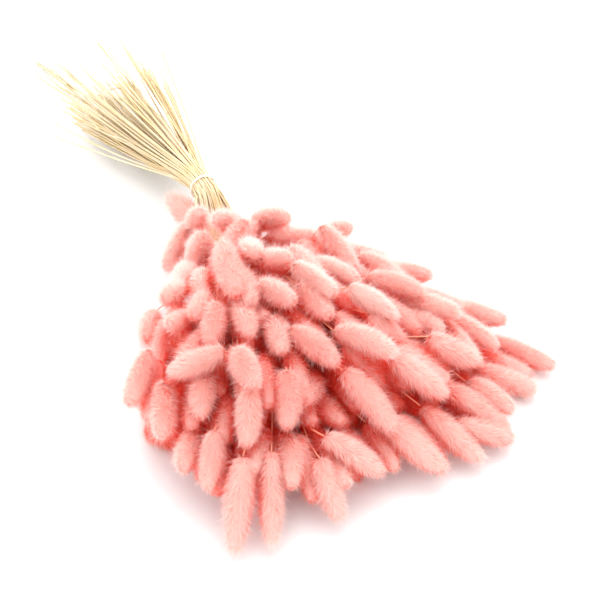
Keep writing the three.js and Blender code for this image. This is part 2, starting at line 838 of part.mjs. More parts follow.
// In the end the heads that run deepest into each other are joined.
function joinHeld() {
  const solids = heads.map((head) => solidOf(headGeometry(head)));
  const pairs = [];
  heads.forEach((first, i) => {
    first.above = null;
    first.members = 1;
    heads.slice(0, i).forEach((second, j) => {
      if (!touches(solids[i], solids[j])) return;
      pairs.push({ first, second, shared: solids[i].intersect(solids[j]).volume() });
    });
  });
  pairs.sort((a, b) => b.shared - a.shared);
  for (const { first, second, shared } of pairs) {
    if (shared > heldVolume) join(first, second);
  }
}

// Heads that still touch another piece give way to it, with a small gap.
function clearedHeads() {
  const solids = headGroups.map((members) => headsSolid(members));
  return solids.map((solid, index) => {
    const later = headGroups.slice(index + 1).filter((_, k) => touches(solid, solids[index + 1 + k]));
    const crossing = heads.filter((head) => touches(solid, headStemSolid(head, crossingMargin)));
    const cutters = [
      ...later.map((others) => headsSolid(others, seatGap)),
      ...crossing.map((head) => headStemSolid(head, seatGap)),
      belowSurface,
    ];
    return largestBody(cutters.reduce((left, cutter) => left.subtract(cutter), solid));
  });
}

function touches(a, b) {
  const boxA = a.boundingBox();
  const boxB = b.boundingBox();
  const apart = [0, 1, 2].some((k) => boxA.max[k] < boxB.min[k] || boxB.max[k] < boxA.min[k]);
  return !apart && a.intersect(b).volume() > 0;
}

function tieGeometry() {
  const inner = bundleRadius + seatGap;
  const outer = inner + tieThickness;
  const turn = tieWidth / tieTurns;
  const profile = [[inner, -tieWidth / 2], [outer - tieDip, -tieWidth / 2]];
  for (let k = 0; k < tieTurns; k += 1) {
    const edge = -tieWidth / 2 + k * turn;
    profile.push([outer, edge + turn / 2], [outer - tieDip, edge + turn]);
  }
  profile.push([inner, tieWidth / 2], profile[0]);
  const ring = new THREE.LatheGeometry(profile.map(([r, x]) => new THREE.Vector2(r, x)), tieSides);
  return ring.rotateZ(-PI / 2).translate(0, 0, tieHeight);
}

const draw = seededDraw(41);
const heads = visibleHeads.map(readVisibleHead);
settleHeads();

joinHeld();
const headGroups = heads
  .filter((head) => clusterOf(head) === head)
  .map((root) => heads.filter((head) => clusterOf(head) === root));
const headSolids = clearedHeads();
const stems = stemsSolid();

const bunch = new THREE.Group();

function addPiece(name, geometry, color, roughness) {
  const material = new THREE.MeshStandardMaterial({ color, roughness, metalness: 0 });
  const mesh = new THREE.Mesh(geometry, material);
  mesh.name = name;
  bunch.add(mesh);
}

addPiece('stems', geometryOf(stems), 0xead7ae, 0.7);
addPiece('tie', geometryOf(solidOf(tieGeometry())), 0xf6f1e6, 0.6);
headSolids.forEach((solid, index) => {
  const name = `${headGroups[index].length > 1 ? 'heads' : 'head'}_${String(index + 1).padStart(2, '0')}`;
  addPiece(name, geometryOf(solid), headColours[index % headColours.length], 0.95);
});

// The origin goes to the middle of the footprint, on the surface that the bunch lies on.
const box = new THREE.Box3().setFromObject(bunch);
const centre = box.getCenter(vector(0, 0, 0));
bunch.position.set(-centre.x, -centre.y, -box.min.z);

export default bunch;
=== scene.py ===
# A lying bunch of dried bunny tail grass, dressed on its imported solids: hairy heads, straws and a band.
import math

import bmesh
import bpy
import numpy as np
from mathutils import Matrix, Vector


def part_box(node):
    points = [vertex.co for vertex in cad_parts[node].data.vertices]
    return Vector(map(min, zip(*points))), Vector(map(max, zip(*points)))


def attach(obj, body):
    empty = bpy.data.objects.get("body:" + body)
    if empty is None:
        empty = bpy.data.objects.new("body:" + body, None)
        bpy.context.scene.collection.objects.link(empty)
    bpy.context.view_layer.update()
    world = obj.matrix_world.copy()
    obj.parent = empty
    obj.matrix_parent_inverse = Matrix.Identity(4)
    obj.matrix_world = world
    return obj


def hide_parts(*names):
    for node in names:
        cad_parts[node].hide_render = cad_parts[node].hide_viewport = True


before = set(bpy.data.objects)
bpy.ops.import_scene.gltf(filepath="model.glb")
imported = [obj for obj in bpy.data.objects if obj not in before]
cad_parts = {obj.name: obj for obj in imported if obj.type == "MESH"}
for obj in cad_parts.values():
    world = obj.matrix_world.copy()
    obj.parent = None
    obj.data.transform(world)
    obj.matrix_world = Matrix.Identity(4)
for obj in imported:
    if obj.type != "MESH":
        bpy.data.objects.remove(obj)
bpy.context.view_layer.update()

millimetre = 0.001
goldenAngle = math.pi * (3 - math.sqrt(5))
sideHint = [0.1, 0.2, 1.0]  # nearly upright, so no stem or head runs along it


def unit(v):
    return v / np.maximum(np.linalg.norm(v, axis=-1, keepdims=True), 1e-9)


def srgb(red, green, blue):
    # screen colour of 0 to 255 as the linear colour that a shader takes
    shares = [channel / 255 for channel in (red, green, blue)]
    linear = [c / 12.92 if c <= 0.04045 else ((c + 0.055) / 1.055) ** 2.4 for c in shares]
    return (*linear, 1.0)


def deselectAll():
    if bpy.context.object and bpy.context.object.mode != "OBJECT":
        bpy.ops.object.mode_set(mode="OBJECT")
    bpy.ops.object.select_all(action="DESELECT")


# The camera stands where the photograph was taken from, and keeps the tie on the same pixel.

cameraPlan = {
    "azimuth": 62,
    "elevation": 42,
    "distance": 0.9,  # from the tie, along the middle of the view
    "tiePixel": (203, 187),
    "picture": 600,
    "focalPixels": 1080,
    "sensor": 36,
    "farthest": 20,
}


def makeCamera(plan):
    azimuth = math.radians(plan["azimuth"])
    rise = math.radians(plan["elevation"])
    level = math.cos(rise)
    back = Vector((math.sin(azimuth) * level, -math.cos(azimuth) * level, math.sin(rise)))
    right = Vector((math.cos(azimuth), math.sin(azimuth), 0))
    up = back.cross(right)
    low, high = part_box("tie")
    u = (plan["tiePixel"][0] - plan["picture"] / 2) / plan["focalPixels"]
    v = (plan["tiePixel"][1] - plan["picture"] / 2) / plan["focalPixels"]
    toTie = -back + right * u - up * v
    bpy.ops.object.camera_add(location=(low + high) / 2 - toTie * plan["distance"])
    camera = bpy.context.object
    camera.rotation_mode = "QUATERNION"
    camera.rotation_quaternion = (-back).to_track_quat("-Z", "Y")
    camera.data.sensor_width = plan["sensor"]
    camera.data.lens = plan["sensor"] * plan["focalPixels"] / plan["picture"]
    camera.data.clip_end = plan["farthest"]
    bpy.context.scene.camera = camera


makeCamera(cameraPlan)
print("camera set")


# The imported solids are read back, in millimetres: each stem's way, and each head's axis, bow and girth.

cadShape = {
    "stemEnds": {"head": 0.5, "cut": 1.05},  # circle round the triangle that closes a stem
    "underHead": 0.3,  # gap between a stem and its head
    "baseRing": 1.3,
    "lengths": (41.5, 68.5),  # of the heads
    "lengthStep": 0.02,
    "sides": 6,
    "profile": [(0.13, 0.74), (0.46, 1), (0.81, 0.7)],
    "tufts": [(1.12, 2.4), (0.84, -1.2)],  # girth, and sweep along the axis
    "hint": (0.3, 0.2, 1),
    "plainRadius": 9.1,
    "hold": 0.15,  # pull towards a plain head
    "skin": (2, 14),  # how far from the axis the rings lie
    "searches": (3.0, 1.0, 0.2),  # how near a ring corner has to be, round by round
    "weld": 2e-6,
    "unevenEnd": 0.02,  # share by which the sides of a closing triangle may differ
    "endSlack": 0.01,
    "placeSlack": 0.06,
    "lengthSlack": 0.03,
    "levelSlack": 0.04,
}


def cornersOf(mesh):
    flat = np.empty(len(mesh.vertices) * 3, np.float32)
    mesh.vertices.foreach_get("co", flat)
    return np.unique(np.round(flat.reshape(-1, 3).astype(float) / millimetre, 4), axis=0)


def walkBack(face):
    ring = set(face.verts)
    seen = set(ring)
    way = []
    while len(ring) == 3:
        way.append(np.mean([vert.co for vert in ring], axis=0) / millimetre)
        ring = {edge.other_vert(vert) for vert in ring for edge in vert.link_edges} - seen
        seen |= ring
    return np.array(way)


def readStems(cad, shape):
    ends = shape["stemEnds"]
    mesh = bmesh.new()
    mesh.from_mesh(cad.data)
    bmesh.ops.remove_doubles(mesh, verts=mesh.verts, dist=shape["weld"])
    ways = {side: [] for side in ends}
    for face in mesh.faces:
        sides = [edge.calc_length() / millimetre for edge in face.edges]
        if len(sides) != 3 or max(sides) - min(sides) > shape["unevenEnd"] * max(sides):
            continue
        for side, radius in ends.items():
            if abs(sides[0] / math.sqrt(3) - radius) < shape["endSlack"]:
                ways[side].append(walkBack(face))
    mesh.free()
    return ways


def fitLength(along, aside, shape):
    # the tip gives the length, or else the length at which most corners fall on a ring
    shortest, longest = shape["lengths"]
    tips = along[(aside < shape["placeSlack"]) & (along > shortest) & (along < longest)]
    if len(tips):
        return tips.max()
    lengths = np.arange(shortest, longest, shape["lengthStep"])
    inner, outer = shape["skin"]
    skin = along[(aside > inner) & (aside < outer)]
    levels = np.array([t * lengths + sweep for t, _ in shape["profile"] for _, sweep in shape["tufts"]])
    near = np.abs(levels[:, :, None] - skin[None, None, :]) < shape["lengthSlack"]
    return lengths[near.any(axis=0).sum(axis=1).argmax()]


def fitGirth(offsets, along, length, u, v, shape):
    # where each ring corner would be gives a line of equations for the radius and both parts of the bow
    # and a faint pull towards a plain head settles a head of which little is left
    radius, bow = shape["plainRadius"], np.zeros(2)
    hold = shape["hold"]
    flat = np.stack([offsets @ u, offsets @ v], axis=1)
    for search in shape["searches"]:
        rows = [[hold, 0, 0], [0, hold, 0], [0, 0, hold]]
        goals = [hold * shape["plainRadius"], 0, 0]
        for k, (t, fullness) in enumerate(shape["profile"]):
            for parity, (girth, sweep) in enumerate(shape["tufts"]):
                level = flat[np.abs(along - t * length - sweep) < shape["levelSlack"]]
                for j in range(shape["sides"]):
                    if (j + k) % 2 != parity or not len(level):
                        continue
                    turn = math.tau * j / shape["sides"]
                    way = np.array([math.cos(turn), math.sin(turn)]) * fullness * girth
                    arch = 4 * t * (1 - t)
                    expected = way * radius + bow * arch
                    misses = np.linalg.norm(level - expected, axis=1)
                    if misses.min() > search:
                        continue
                    found = level[misses.argmin()]
                    rows += [[way[0], arch, 0], [way[1], 0, arch]]
                    goals += [found[0], found[1]]
        radius, *bow = np.linalg.lstsq(np.array(rows), np.array(goals), rcond=None)[0]
        bow = np.array(bow)
    return radius, bow


def readHead(way, clouds, shape):
    cap = way[0]
    reach = math.hypot(shape["baseRing"], shape["underHead"])
    rings = {}
    for name, cloud in clouds.items():
        away = np.linalg.norm(cloud - cap, axis=1)
        rings[name] = cloud[np.abs(away - reach) < shape["placeSlack"]]
    name = max(rings, key=lambda each: len(rings[each]))
    ring = rings[name]
    axis = np.linalg.svd(ring - ring.mean(axis=0))[2][2]
    axis *= np.sign((ring.mean(axis=0) - cap) @ axis)
    base = cap + axis * shape["underHead"]
    hint = np.array(shape["hint"])
    u = unit(hint - axis * (hint @ axis))
    v = np.cross(axis, u)
    offsets = clouds[name] - base
    along = offsets @ axis
    length = fitLength(along, np.linalg.norm(offsets - along[:, None] * axis, axis=1), shape)
    radius, bow = fitGirth(offsets, along, length, u, v, shape)
    return {
        "node": name, "base": base, "axis": axis, "length": length, "radius": radius,
        "bow": u * bow[0] + v * bow[1], "u": u, "v": v, "way": way,
    }


headNames = sorted(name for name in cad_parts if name.startswith("head"))
headClouds = {name: cornersOf(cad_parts[name].data) for name in headNames}
ways = readStems(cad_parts["stems"], cadShape)
heads = [readHead(way, headClouds, cadShape) for way in ways["head"]]
print("read", len(heads), "heads and", len(ways["cut"]), "cut stems")


# Small makers of shader nodes and meshes.

def newMaterial(name):
    material = bpy.data.materials.new(name)
    material.use_nodes = True
    material.node_tree.nodes.clear()
    return material, material.node_tree


def addNode(tree, kind, **values):
    node = tree.nodes.new(kind)
    for key, value in values.items():
        if key.startswith("in_"):
            node.inputs[key[3:].replace("_", " ")].default_value = value
        else:
            setattr(node, key, value)
    return node


def addRamp(tree, factor, stops):
    ramp = tree.nodes.new("ShaderNodeValToRGB")
    while len(ramp.color_ramp.elements) < len(stops):
        ramp.color_ramp.elements.new(0.5)
    for element, (place, colour) in zip(ramp.color_ramp.elements, stops):
        element.position = place
        element.color = srgb(*colour)
    tree.links.new(factor, ramp.inputs["Fac"])
    return ramp.outputs["Color"]


def addMath(tree, operation, first, second):
    node = tree.nodes.new("ShaderNodeMath")
    node.operation = operation
    for socket, value in zip(node.inputs, (first, second)):
        if isinstance(value, (int, float)):
            socket.default_value = value
        else:
            tree.links.new(value, socket)
    return node.outputs["Value"]


def addNoise(tree, scale, detail, stretch=(1, 1, 1)):
    place = tree.nodes.new("ShaderNodeTexCoord").outputs["Object"]
    mapping = tree.nodes.new("ShaderNodeMapping")
    mapping.inputs["Scale"].default_value = stretch
    noise = tree.nodes.new("ShaderNodeTexNoise")
    noise.inputs["Scale"].default_value = scale
    noise.inputs["Detail"].default_value = detail
    tree.links.new(place, mapping.inputs["Vector"])
    tree.links.new(mapping.outputs["Vector"], noise.inputs["Vector"])
    return noise.outputs["Fac"]


def mixColours(tree, blend, factor, first, second):
    node = tree.nodes.new("ShaderNodeMix")
    node.data_type = "RGBA"
    node.blend_type = blend
    for socket, value in ((node.inputs[0], factor), (node.inputs[6], first), (node.inputs[7], second)):
        if isinstance(value, (int, float, tuple)):
            socket.default_value = value
        else:
            tree.links.new(value, socket)
    return node.outputs[2]


def readAttribute(tree, name):
    attribute = addNode(tree, "ShaderNodeAttribute", attribute_name=name)
    parts = tree.nodes.new("ShaderNodeSeparateColor")
    tree.links.new(attribute.outputs["Color"], parts.inputs["Color"])
    return parts.outputs[0], parts.outputs[1], parts.outputs[2]


def addBump(tree, height, shader, strength, distance):
    bump = addNode(tree, "ShaderNodeBump", in_Strength=strength, in_Distance=distance)
    tree.links.new(height, bump.inputs["Height"])
    tree.links.new(bump.outputs["Normal"], shader.inputs["Normal"])


def setSurface(tree, surface):
    output = tree.nodes.new("ShaderNodeOutputMaterial")
    tree.links.new(surface, output.inputs["Surface"])


def meshOf(name, corners, faces, smooth=True):
    # corners in millimetres, faces all of one size
    mesh = bpy.data.meshes.new(name)
    mesh.vertices.add(len(corners))
    mesh.vertices.foreach_set("co", (corners * millimetre).astype(np.float32).ravel())
    size = faces.shape[1]
    mesh.loops.add(faces.size)
    mesh.loops.foreach_set("vertex_index", faces.astype(np.int32).ravel())
    mesh.polygons.add(len(faces))
    mesh.polygons.foreach_set("loop_start", np.arange(0, faces.size, size, dtype=np.int32))
    mesh.polygons.foreach_set("loop_total", np.full(len(faces), size, dtype=np.int32))
    mesh.update(calc_edges=True)
    mesh.polygons.foreach_set("use_smooth", np.full(len(faces), smooth))
    return mesh


def addPiece(mesh, material, node=None):
    piece = bpy.data.objects.new(mesh.name, mesh)
    bpy.context.scene.collection.objects.link(piece)
    mesh.materials.append(material)
    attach(piece, "root")
    if node:
        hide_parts(node)


def setColours(mesh, name, values):
    attribute = mesh.attributes.new(name, "FLOAT_COLOR", "POINT")
    attribute.data.foreach_set("color", values.astype(np.float32).ravel())


tieLow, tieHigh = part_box("tie")
tieCentre = np.array((tieLow + tieHigh) / 2) / millimetre


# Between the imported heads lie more, deeper in the bunch, where the photograph shows only coral fluff.

fluff = {
    "seed": 7,
    "hairs": 700000,  # in all
    "leastShare": 0.55,  # what a head in the dark gets, where one in full light gets 1 more
    "above": 8,  # that light is measured this far above the middle of the head
    "deepHairs": 2200,  # to each deep head
    "quickFewer": 8,
    "outline": 600,  # steps along a head's outline
    "back": (0.76, 0.96),  # how far back the widest place lies
    "power": (1.65, 2.5),  # how blunt both ends are
    "girth": 1.16,
    "nearTie": (0.2, 60, 170),  # more girth next to the tie, fading between two distances
    "uneven": 0.12,  # how much shorter a hair may be
    "fuzz": 0.3,  # share of hairs that stand out
    "fuzzReach": 0.5,  # how far, as a share of the girth
    "fuzzPower": 2.0,
    # painted light: a hair that stands out is this much paler at its tip, for each share of the girth it
    # reaches out
    "fuzzPaintedLight": 0.3,
    "stray": 0.3,
    "root": (0.3, 0.62),  # how far from the axis a hair starts, as a share of the girth
    "rootStray": 0.25,
    "rootSpan": (0.02, 0.86),
    "sweep": (3.5, 7.0),  # how far back along the head it starts
    "width": (0.24, 0.36),
    "deepWidth": (0.34, 0.5),
    "clumps": 260,
    "clumpStray": 0.4,
    "unevenClump": 0.03,
    "toneShares": (0.7, 0.18, 0.12),  # of the head, the clump and the hair
    "awns": 0.015,
    "awnReach": 1.05,
    "roll": 60,  # degrees
    "lean": 0.25,
    "tipAbove": 3,  # the light at a tip is measured this far outside it
    # how strongly the painted light pales a tip where the sky reaches it
    "tipRise": 1.3,
    "tipPower": 1.25,
    "rootPaintedLightShare": 0.55,  # painted shade: a root gets this share of its tip's painted light, so it is deeper coral
    "floor": 0.3,  # no hair lies lower
    "core": 0.72,  # share of the girth
    "coreSpan": (0.48, 0.43),  # middle and half length of the core, as shares of the head
    "coreOut": 1.6,  # the light on the core is measured this many times as far out
    # painted shade: the core gets this share of its painted light, so it is deeper coral than the hair tips
    "corePaintedLightShare": 0.8,
    "coreSides": 12,
    "coreRings": 7,
}

deep = {
    "seed": 5,
    "count": 84,
    "places": [
        (258, 30, 19), (180, -100, 17), (136, -98, 18), (88, -34, 30),
        (202, -45, 44), (181, -47, 48), (227, -1, 30), (259, -41, 21), (215, -55, 37),
    ],  # where the fluff would show a gap
    "span": (0.1, 0.9),
    "points": 9,
    "near": 46,  # two heads that are closer have a candidate between them
    "back": 10,
    "down": 9,
    "room": 8.5,  # least way to the axis of any other head
    "lengths": (44, 56),
    "radii": (8.4, 9.6),
    "floor": 9,
    "stray": 0.16,
}

crowd = {
    "cell": 4.0,
    "margin": 60,
    "span": (0.03, 0.97),
    "rings": 26,
    "inRing": 60,
    "steps": (4, 8, 12, 17, 23, 30, 39, 50),  # how far each look reaches, step by step
    "tilts": (0, 38, 66, 95),  # degrees from the upright
    "least": 0.3,  # weight of the light that the floor sends back
    "turns": 5,
    "stop": 0.055,  # share of light lost in each millimetre of fluff
}


def outsideOf(t, head):
    back, power = head["fullness"]
    swell = np.abs(2 * np.clip(t, 0, 1) ** back - 1) ** power
    return np.sqrt(np.clip(1 - swell, 0, 1))


def middleOf(head):
    return head["base"] + head["axis"] * head["length"] / 2


def girthOf(head, plan):
    more, near, far = plan["nearTie"]
    away = np.linalg.norm(middleOf(head) - tieCentre)
    return plan["girth"] + more * np.clip((far - away) / (far - near), 0, 1)


def spineOf(head, t):
    arch = 4 * t * (1 - t)
    return head["base"] + head["axis"] * (t * head["length"])[:, None] + head["bow"] * arch[:, None]


def aroundOf(head, angle):
    return head["u"] * np.cos(angle)[:, None] + head["v"] * np.sin(angle)[:, None]


def spineDistance(point, spines):
    return np.linalg.norm(spines - point, axis=2).min(axis=1)


def makeDeepHeads(plan):
    # candidates lie between two neighbours, and the roomiest ones are taken first
    draw = np.random.default_rng(plan["seed"])
    t = np.linspace(*plan["span"], plan["points"])
    spines = np.array([spineOf(head, t) for head in heads])
    middles = spines[:, plan["points"] // 2]
    candidates = []
    for i, first in enumerate(heads):
        for j in range(i):
            if np.linalg.norm(middles[i] - middles[j]) > plan["near"]:
                continue
            axis = unit(first["axis"] + heads[j]["axis"] + draw.uniform(-1, 1, 3) * plan["stray"])
            middle = (middles[i] + middles[j]) / 2 - axis * plan["back"]
            middle[2] = max(middle[2] - plan["down"], plan["floor"])
            candidates.append((middle, axis))
    made = []
    placed = [(np.array(place), unit(place - tieCentre)) for place in plan["places"]]
    rooms = np.array([spineDistance(middle, spines).min() for middle, _ in candidates])
    while len(made) < plan["count"] and rooms.max() > plan["room"]:
        middle, axis = placed.pop() if placed else candidates[rooms.argmax()]
        length = draw.uniform(*plan["lengths"])
        u = unit(np.cross(axis, sideHint))
        head = {
            "base": middle - axis * length / 2, "axis": axis, "length": length,
            "radius": draw.uniform(*plan["radii"]), "bow": np.zeros(3), "u": u, "v": np.cross(axis, u),
        }
        made.append(head)
        spine = spineOf(head, t)
        rooms = np.minimum(rooms, [np.linalg.norm(spine - each, axis=1).min() for each, _ in candidates])
    return made


def fillCells(plan, everyHead):
    # cells of the space that fluff takes up
    low = np.min([head["base"] for head in everyHead], axis=0) - plan["margin"]
    high = np.max([head["base"] for head in everyHead], axis=0) + plan["margin"]
    cells = np.zeros(np.ceil((high - low) / plan["cell"]).astype(int) + 1, np.float32)
    rings, inRing = plan["rings"], plan["inRing"]
    for head in everyHead:
        t = np.repeat(np.linspace(*plan["span"], rings), inRing)
        angle = np.tile(np.arange(inRing) * goldenAngle, rings)
        out = np.tile(np.sqrt((np.arange(inRing) + 0.5) / inRing), rings)
        away = outsideOf(t, head) * head["radius"] * out
        places = spineOf(head, t) + aroundOf(head, angle) * away[:, None]
        at = np.round((places - low) / plan["cell"]).astype(int)
        at = np.clip(at, 0, np.array(cells.shape) - 1)
        cells[at[:, 0], at[:, 1], at[:, 2]] = 1
    return low, cells


def opennessAt(points, plan, space):
    # share of the sky that reaches a point through the fluff around it
    low, cells = space
    light = np.zeros(len(points))
    weight = 0
    for tilt in np.radians(plan["tilts"]):
        for turn in np.arange(plan["turns"] if tilt > 0 else 1) * math.tau / plan["turns"]:
            flat = math.sin(tilt)
            way = np.array([flat * math.cos(turn), flat * math.sin(turn), math.cos(tilt)])
            depth, before = np.zeros(len(points)), 0
            for step in plan["steps"]:
                at = np.round((points + way * step - low) / plan["cell"]).astype(int)
                inside = ((at >= 0) & (at < cells.shape)).all(axis=1)
                at = np.clip(at, 0, np.array(cells.shape) - 1)
                depth += inside * cells[at[:, 0], at[:, 1], at[:, 2]] * (step - before)
                before = step
            light += max(math.cos(tilt), plan["least"]) * np.exp(-depth * plan["stop"])
            weight += max(math.cos(tilt), plan["least"])
    return light / weight


deepHeads = makeDeepHeads(deep)
drawShape = np.random.default_rng(fluff["seed"])
for head in heads + deepHeads:
    head["fullness"] = (drawShape.uniform(*fluff["back"]), drawShape.uniform(*fluff["power"]))
space = fillCells(crowd, heads + deepHeads)
print("added", len(deepHeads), "heads deep in the bunch")


# Fluff: every hair is one slim blade from deep in its head to the rounded outside.

def evenPlaces(head, count, draw):
    # places along the head so that tips are evenly dense over the outside
    t = np.linspace(0, 1, fluff["outline"])
    girth = outsideOf(t, head) * head["radius"]
    lengths = np.hypot(np.diff(t) * head["length"], np.diff(girth))
    area = np.concatenate([[0], np.cumsum(lengths * (girth[1:] + girth[:-1]) / 2)])
    shares = (np.arange(count) + draw.random(count)) / count
    return np.interp(shares * area[-1], area, t)


def outwardOf(head, t, around):
    step = 0.01
    rise = (outsideOf(t + step, head) - outsideOf(t - step, head)) * head["radius"]
    run = 2 * step * head["length"]
    return unit(around * run + head["axis"] * (-rise)[:, None])


# Painted light and shade: a hair's colour pales where much sky reaches it and turns deep coral where
# crowded fluff hides it
def paintedLightAndShade(points, plan):
    light = opennessAt(points, crowd, space) ** plan["tipPower"]
    return np.clip(plan["tipRise"] * light, 0, 1)


def growHairs(head, count, widths, plan, draw):
    t = evenPlaces(head, count, draw)
    angle = np.arange(count) * goldenAngle + draw.uniform(-plan["stray"], plan["stray"], count)
    clumpT = evenPlaces(head, plan["clumps"], draw)
    clumpAngle = np.arange(plan["clumps"]) * goldenAngle
    clumpAngle += draw.uniform(-plan["clumpStray"], plan["clumpStray"], plan["clumps"])
    around = aroundOf(head, angle)
    outside = outsideOf(t, head)
    skin = spineOf(head, t) + around * (outside * head["radius"])[:, None]
    clumpGirth = outsideOf(clumpT, head) * head["radius"]
    clumpSkin = spineOf(head, clumpT) + aroundOf(head, clumpAngle) * clumpGirth[:, None]
    nearest = ((skin[:, None, :] - clumpSkin[None, :, :]) ** 2).sum(axis=2).argmin(axis=1)
    clumpSize = draw.uniform(-1, 1, plan["clumps"]) * plan["unevenClump"]
    clumpTone = draw.random(plan["clumps"])
    reach = 1 + clumpSize[nearest] - draw.random(count) * plan["uneven"]
    fuzz = draw.random(count) < plan["fuzz"]
    awn = draw.random(count) < plan["awns"]
    reach[fuzz] += draw.random(fuzz.sum()) ** plan["fuzzPower"] * plan["fuzzReach"]
    reach[awn] = plan["awnReach"]
    outward = outwardOf(head, t, around)
    girth = head["radius"] * girthOf(head, plan)
    tip = spineOf(head, t) + around * (outside * girth)[:, None]
    tip += outward * ((reach - 1) * girth)[:, None]
    rootT = np.clip(t - draw.uniform(*plan["sweep"], count) / head["length"], *plan["rootSpan"])
    rootAround = aroundOf(head, angle + draw.uniform(-plan["rootStray"], plan["rootStray"], count))
    rootGirth = outsideOf(rootT, head) * head["radius"] * draw.uniform(*plan["root"], count)
    root = spineOf(head, rootT) + rootAround * rootGirth[:, None]
    along = unit(tip - root)
    roll = np.radians(draw.uniform(-plan["roll"], plan["roll"], count))[:, None]
    side = unit(np.cross(along, outward + draw.normal(0, plan["lean"], (count, 3))))
    side = side * np.cos(roll) + np.cross(side, along) * np.sin(roll)
    half = side * (draw.uniform(*widths, count) / 2)[:, None]
    corners = np.stack([root - half, root + half, tip], axis=1).reshape(-1, 3)
    corners[:, 2] = np.maximum(corners[:, 2], plan["floor"])
    ofHead, ofClump, ofHair = plan["toneShares"]
    tone = ofHead * draw.random() + ofClump * clumpTone[nearest] + ofHair * draw.random(count)
    tone = np.clip(tone, 0, 1)
    colours = np.zeros((count, 3, 4))
    # Painted light and shade in the first channel: a tip is paler the more sky reaches it, a fuzz hair that
    # stands out is paler still, and the root gets a smaller share, as painted shade deep in the head
    colours[:, 2, 0] = paintedLightAndShade(tip + outward * plan["tipAbove"], plan)
    colours[:, 2, 0] += plan["fuzzPaintedLight"] * np.maximum(reach - 1, 0)
    colours[:, :2, 0] = (colours[:, 2, 0] * plan["rootPaintedLightShare"])[:, None]
    colours[:, :, 1] = tone[:, None]
    colours[:, :, 2] = awn[:, None]
    colours[:, :, 3] = 1
    return corners, colours.reshape(-1, 4)


def modelCore(plan):
    # one core from pole to pole along +Z
    deselectAll()
    bpy.ops.mesh.primitive_uv_sphere_add(segments=plan["coreSides"], ring_count=plan["coreRings"], radius=1)
    core = bpy.context.object
    bpy.ops.object.mode_set(mode="EDIT")
    bpy.ops.mesh.select_all(action="SELECT")
    bpy.ops.mesh.quads_convert_to_tris()
    bpy.ops.object.mode_set(mode="OBJECT")
    corners = np.array([vert.co for vert in core.data.vertices])
    faces = np.array([face.vertices for face in core.data.polygons])
    bpy.data.objects.remove(core)
    return corners, faces


def placeCore(head, corners, plan):
    middle, reach = plan["coreSpan"]
    t = middle + reach * corners[:, 2]
    angle = np.arctan2(corners[:, 1], corners[:, 0])
    girth = outsideOf(t, head) * head["radius"] * plan["core"]
    pole = 0.999
    girth = np.where(np.abs(corners[:, 2]) > pole, 0, girth)
    placed = spineOf(head, t) + aroundOf(head, angle) * girth[:, None]
    placed[:, 2] = np.maximum(placed[:, 2], plan["floor"])
    return placed


# Each ramp turns the painted light and shade into colour: deep coral at 0 is painted shade where crowded
# fluff hides the sky, pale pink at 1 is painted light where the sky reaches. The dyed ramp is a deeper
# head, the pale ramp a paler one
fluffLook = {
    "dyed": [
        (0.0, (255, 64, 36)),
        (0.2, (255, 90, 62)),
        (0.45, (255, 124, 102)),
        (0.68, (255, 202, 192)),
        (1.0, (255, 233, 227)),
    ],
    "pale": [
        (0.0, (255, 86, 58)),
        (0.2, (255, 120, 96)),
        (0.45, (255, 168, 152)),
        (0.68, (255, 226, 218)),
        (1.0, (255, 243, 239)),
    ],
    "grain": (900, 2),
    "grainShare": 0.35,
    "patch": (28, 2),
    "toneShare": 0.95,
    "awn": (150, 84, 60),
    "roughness": 0.88,
    "specular": 0.12,
    "through": 0.62,  # share of light that passes through a hair
}


def fluffMaterial(look):
    material, tree = newMaterial("pinkFluff")
    # The first channel of the hair colours is painted light and shade, not a place along the hair: pale
    # where the sky reaches, deep coral where fluff hides it
    along, tone, awn = readAttribute(tree, "hair")
    grain = addMath(tree, "SUBTRACT", addNoise(tree, *look["grain"]), 0.5)
    along = addMath(tree, "ADD", along, addMath(tree, "MULTIPLY", grain, look["grainShare"]))
    dyed = addRamp(tree, along, look["dyed"])
    pale = addRamp(tree, along, look["pale"])
    patch = addMath(tree, "SUBTRACT", addNoise(tree, *look["patch"]), 0.5)
    share = addMath(tree, "ADD", addMath(tree, "MULTIPLY", tone, look["toneShare"]), patch)
    share = addMath(tree, "MINIMUM", addMath(tree, "MAXIMUM", share, 0.0), 1.0)
    colour = mixColours(tree, "MIX", share, dyed, pale)
    colour = mixColours(tree, "MIX", awn, colour, srgb(*look["awn"]))
    shader = addNode(tree, "ShaderNodeBsdfPrincipled", in_Roughness=look["roughness"])
    shader.inputs["Specular IOR Level"].default_value = look["specular"]
    through = tree.nodes.new("ShaderNodeBsdfTranslucent")
    tree.links.new(colour, shader.inputs["Base Color"])
    tree.links.new(colour, through.inputs["Color"])
    mixed = addNode(tree, "ShaderNodeMixShader")
    mixed.inputs["Fac"].default_value = look["through"]
    tree.links.new(shader.outputs["BSDF"], mixed.inputs[1])
    tree.links.new(through.outputs["BSDF"], mixed.inputs[2])
    setSurface(tree, mixed.outputs["Shader"])
    return material


